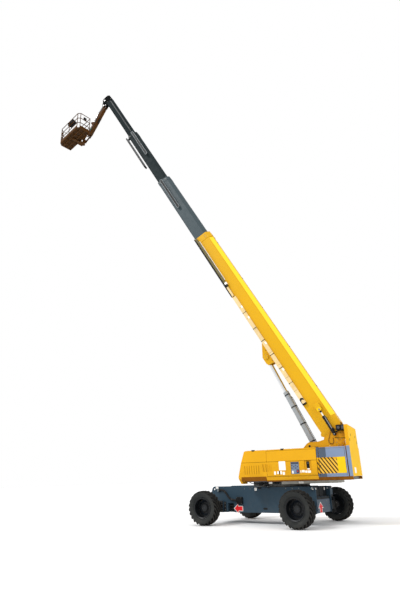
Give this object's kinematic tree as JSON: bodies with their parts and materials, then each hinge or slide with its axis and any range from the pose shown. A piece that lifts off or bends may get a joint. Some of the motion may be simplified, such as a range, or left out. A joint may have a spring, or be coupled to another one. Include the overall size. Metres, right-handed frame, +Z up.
{
  "type": "telescopic boom lift",
  "caption": "Rough-terrain telescopic boom lift with slewing turntable, boom of nested sections, levelled jib and guarded work platform, raised and extended on its wheels.",
  "frame": {"origin": "bottom centre of the whole machine's box, on the ground", "axes": "+X is the way the chassis faces, +Y its left, +Z up; the turntable is parked 12.6 degrees to the left of +X"},
  "size_m": [14.4424, 5.4458, 23.7847],
  "materials": {
    "chassis_grey": "satin paint",
    "dark_steel": "satin dark paint",
    "tyre_rubber": "moulded rubber",
    "rim_black": "satin black paint",
    "hose_rubber": "hose rubber",
    "machine_yellow": "gloss paint",
    "pin_steel": "ground steel",
    "engine_iron": "cast",
    "black_plastic": "moulded",
    "panel_grey": "satin paint",
    "duct_cream": "moulded",
    "fly_grey": "satin paint",
    "cylinder_grey": "gloss paint",
    "black_paint": "gloss black paint",
    "chrome_rod": "hard chrome"
  },
  "bodies": {
    "chassis": {"chassis_frame": "chassis_grey", "front_axle": "chassis_grey", "rear_axle": "chassis_grey", "slew_ring": "dark_steel", "valve_box": "chassis_grey", "chassis_hose": "hose_rubber"},
    "knuckle_front_left": {"knuckle_front_left": "dark_steel"},
    "wheel_front_left": {"rim_front_left": "rim_black", "tyre_front_left": "tyre_rubber"},
    "knuckle_front_right": {"knuckle_front_right": "dark_steel"},
    "wheel_front_right": {"rim_front_right": "rim_black", "tyre_front_right": "tyre_rubber"},
    "knuckle_rear_left": {"knuckle_rear_left": "dark_steel"},
    "wheel_rear_left": {"rim_rear_left": "rim_black", "tyre_rear_left": "tyre_rubber"},
    "knuckle_rear_right": {"knuckle_rear_right": "dark_steel"},
    "wheel_rear_right": {"rim_rear_right": "rim_black", "tyre_rear_right": "tyre_rubber"},
    "turntable": {"turntable_deck": "dark_steel", "tower": "machine_yellow", "counterweight": "machine_yellow", "hood_left": "machine_yellow", "hood_right": "machine_yellow", "engine_block": "engine_iron", "work_lamp": "black_plastic", "tower_hose": "hose_rubber", "boom_pin": "pin_steel"},
    "door_left_rear": {"door_left_rear": "machine_yellow"},
    "door_right_rear": {"door_right_rear": "machine_yellow"},
    "door_right_front": {"door_right_front": "machine_yellow"},
    "door_left_front": {"door_left_front": "machine_yellow", "ground_control_panel": "panel_grey"},
    "boom": {"boom_base": "machine_yellow", "levelling_lug": "machine_yellow", "cable_duct": "duct_cream", "cable_chain": "black_plastic"},
    "fly_1": {"fly_section_1": "fly_grey", "fly_tray_1": "black_paint"},
    "fly_2": {"fly_section_2": "fly_grey", "fly_tray_2": "black_paint"},
    "fly_3": {"fly_section_3": "fly_grey", "head_pin": "pin_steel"},
    "lift_barrel": {"lift_cylinder": "cylinder_grey"},
    "lift_piston": {"lift_rod": "chrome_rod"},
    "levelling_barrel": {"levelling_cylinder": "black_paint"},
    "levelling_piston": {"levelling_rod": "chrome_rod"},
    "head": {"jib_head": "machine_yellow", "jib_pins": "pin_steel"},
    "jib": {"jib_arm": "machine_yellow"},
    "jib_barrel": {"jib_cylinder": "cylinder_grey"},
    "jib_piston": {"jib_rod": "chrome_rod"},
    "support": {"platform_support": "machine_yellow", "support_pin": "pin_steel"},
    "platform": {"platform_bracket": "machine_yellow", "platform_floor": "machine_yellow", "platform_rails": "machine_yellow", "platform_console": "black_plastic"},
    "gate": {"platform_gate": "machine_yellow"}
  },
  "joints": [
    {"name": "steer_front_left", "type": "hinge", "parent": "chassis", "child": "knuckle_front_left", "pos_m": [-1.88626, 0.42645, 0.5775], "axis": [0, 0, 1], "range_deg": [-40, 28]},
    {"name": "roll_front_left", "type": "hinge", "parent": "knuckle_front_left", "child": "wheel_front_left", "pos_m": [-1.92885, 0.83172, 0.5775], "axis": [-0.1045, 0.9945, 0], "continuous": true},
    {"name": "steer_front_right", "type": "hinge", "parent": "chassis", "child": "knuckle_front_right", "pos_m": [-1.88626, -2.04355, 0.5775], "axis": [0, 0, 1], "range_deg": [-40, 28]},
    {"name": "roll_front_right", "type": "hinge", "parent": "knuckle_front_right", "child": "wheel_front_right", "pos_m": [-1.84367, -2.44881, 0.5775], "axis": [-0.1045, 0.9945, 0], "continuous": true},
    {"name": "steer_rear_left", "type": "hinge", "parent": "chassis", "child": "knuckle_rear_left", "pos_m": [-5.61126, 0.42645, 0.5775], "axis": [0, 0, 1], "range_deg": [-34, 34]},
    {"name": "roll_rear_left", "type": "hinge", "parent": "knuckle_rear_left", "child": "wheel_rear_left", "pos_m": [-5.61126, 0.83395, 0.5775], "axis": [0, 1, 0], "continuous": true},
    {"name": "steer_rear_right", "type": "hinge", "parent": "chassis", "child": "knuckle_rear_right", "pos_m": [-5.61126, -2.04355, 0.5775], "axis": [0, 0, 1], "range_deg": [-34, 34]},
    {"name": "roll_rear_right", "type": "hinge", "parent": "knuckle_rear_right", "child": "wheel_rear_right", "pos_m": [-5.61126, -2.45105, 0.5775], "axis": [0, 1, 0], "continuous": true},
    {"name": "slew", "type": "hinge", "parent": "chassis", "child": "turntable", "pos_m": [-4.54226, -0.80855, 0], "axis": [0, 0, 1], "continuous": true},
    {"name": "open_left_rear", "type": "hinge", "parent": "turntable", "child": "door_left_rear", "pos_m": [-7.03478, -0.11866, 1.9], "axis": [0, 0, 1], "range_deg": [0, 90]},
    {"name": "open_left_front", "type": "hinge", "parent": "turntable", "child": "door_left_front", "pos_m": [-4.42518, 0.46466, 1.9], "axis": [0, 0, -1], "range_deg": [0, 90]},
    {"name": "open_right_rear", "type": "hinge", "parent": "turntable", "child": "door_right_rear", "pos_m": [-6.50382, -2.49404, 1.9], "axis": [0, 0, -1], "range_deg": [0, 90]},
    {"name": "open_right_front", "type": "hinge", "parent": "turntable", "child": "door_right_front", "pos_m": [-3.89422, -1.91073, 1.9], "axis": [0, 0, 1], "range_deg": [0, 90]},
    {"name": "boom_lift", "type": "hinge", "parent": "turntable", "child": "boom", "pos_m": [-6.58193, -1.26447, 2.62], "axis": [0.2181, -0.9759, 0], "range_deg": [-62.14, 7.86]},
    {"name": "telescope_1", "type": "slide", "parent": "boom", "child": "fly_1", "axis": [0.4561, 0.1019, 0.8841], "range_m": [-4.05, 4.8]},
    {"name": "telescope_2", "type": "slide", "parent": "fly_1", "child": "fly_2", "axis": [0.4561, 0.1019, 0.8841], "range_m": [-4.05, 4.8]},
    {"name": "telescope_3", "type": "slide", "parent": "fly_2", "child": "fly_3", "axis": [0.4561, 0.1019, 0.8841], "range_m": [-3.6451, 4.3201]},
    {"name": "lift_cylinder_pivot", "type": "hinge", "parent": "turntable", "child": "lift_barrel", "pos_m": [-5.90854, -1.11395, 1.9], "axis": [0.2181, -0.9759, 0], "range_deg": [-62.95, 7.97]},
    {"name": "lift_cylinder_stroke", "type": "slide", "parent": "lift_barrel", "child": "lift_piston", "axis": [0.3887, 0.0869, 0.9173], "range_m": [-1.02836, 0.13016]},
    {"name": "levelling_cylinder_pivot", "type": "hinge", "parent": "turntable", "child": "levelling_barrel", "pos_m": [-6.574, -0.65814, 2.89], "axis": [0.2181, -0.9759, 0], "range_deg": [-77.1, 9.76]},
    {"name": "levelling_cylinder_stroke", "type": "slide", "parent": "levelling_barrel", "child": "levelling_piston", "axis": [0.4222, 0.0944, 0.9016], "range_m": [-0.01981, 0.15595]},
    {"name": "head_level", "type": "hinge", "parent": "fly_3", "child": "head", "pos_m": [4.52962, 1.21926, 23.45413], "axis": [0.2181, -0.9759, 0], "range_deg": [-7.87, 62.15]},
    {"name": "jib_lift", "type": "hinge", "parent": "head", "child": "jib", "pos_m": [4.63697, 1.24325, 23.16413], "axis": [0.2181, -0.9759, 0], "range_deg": [-5.7, 129.3]},
    {"name": "jib_cylinder_pivot", "type": "hinge", "parent": "head", "child": "jib_barrel", "pos_m": [4.63697, 1.24325, 23.49413], "axis": [0.2181, -0.9759, 0], "range_deg": [-5.63, 127.54]},
    {"name": "jib_cylinder_stroke", "type": "slide", "parent": "jib_barrel", "child": "jib_piston", "axis": [0.5552, 0.1241, -0.8224], "range_m": [-0.59924, 0.02651]},
    {"name": "platform_level", "type": "hinge", "parent": "jib", "child": "support", "pos_m": [5.70821, 1.4827, 21.31545], "axis": [0.2181, -0.9759, 0], "range_deg": [-129.31, 5.71]},
    {"name": "platform_turn", "type": "hinge", "parent": "support", "child": "platform", "pos_m": [6.05954, 1.56123, 20.87545], "axis": [0, 0, 1], "range_deg": [-160.5, 19.5]},
    {"name": "gate_swing", "type": "hinge", "parent": "platform", "child": "gate", "pos_m": [7.19132, 2.29861, 21.47545], "axis": [0, 0, 1], "range_deg": [0, 85]}
  ],
  "couplings": [
    {"joint": "steer_front_right", "follows": "steer_front_left", "ratio": 1},
    {"joint": "steer_rear_right", "follows": "steer_rear_left", "ratio": 1},
    {"joint": "telescope_2", "follows": "telescope_1", "ratio": 1},
    {"joint": "telescope_3", "follows": "telescope_1", "ratio": 0.9},
    {"joint": "lift_cylinder_pivot", "follows": "boom_lift", "ratio": 1.0129},
    {"joint": "lift_cylinder_stroke", "follows": "boom_lift", "m_per_rad": 0.9481},
    {"joint": "levelling_cylinder_pivot", "follows": "boom_lift", "ratio": 1.2405},
    {"joint": "levelling_cylinder_stroke", "follows": "boom_lift", "m_per_rad": -0.1437},
    {"joint": "head_level", "follows": "boom_lift", "ratio": -1},
    {"joint": "jib_cylinder_pivot", "follows": "jib_lift", "ratio": 0.9863},
    {"joint": "jib_cylinder_stroke", "follows": "jib_lift", "m_per_rad": -0.26549},
    {"joint": "platform_level", "follows": "jib_lift", "ratio": -1}
  ]
}
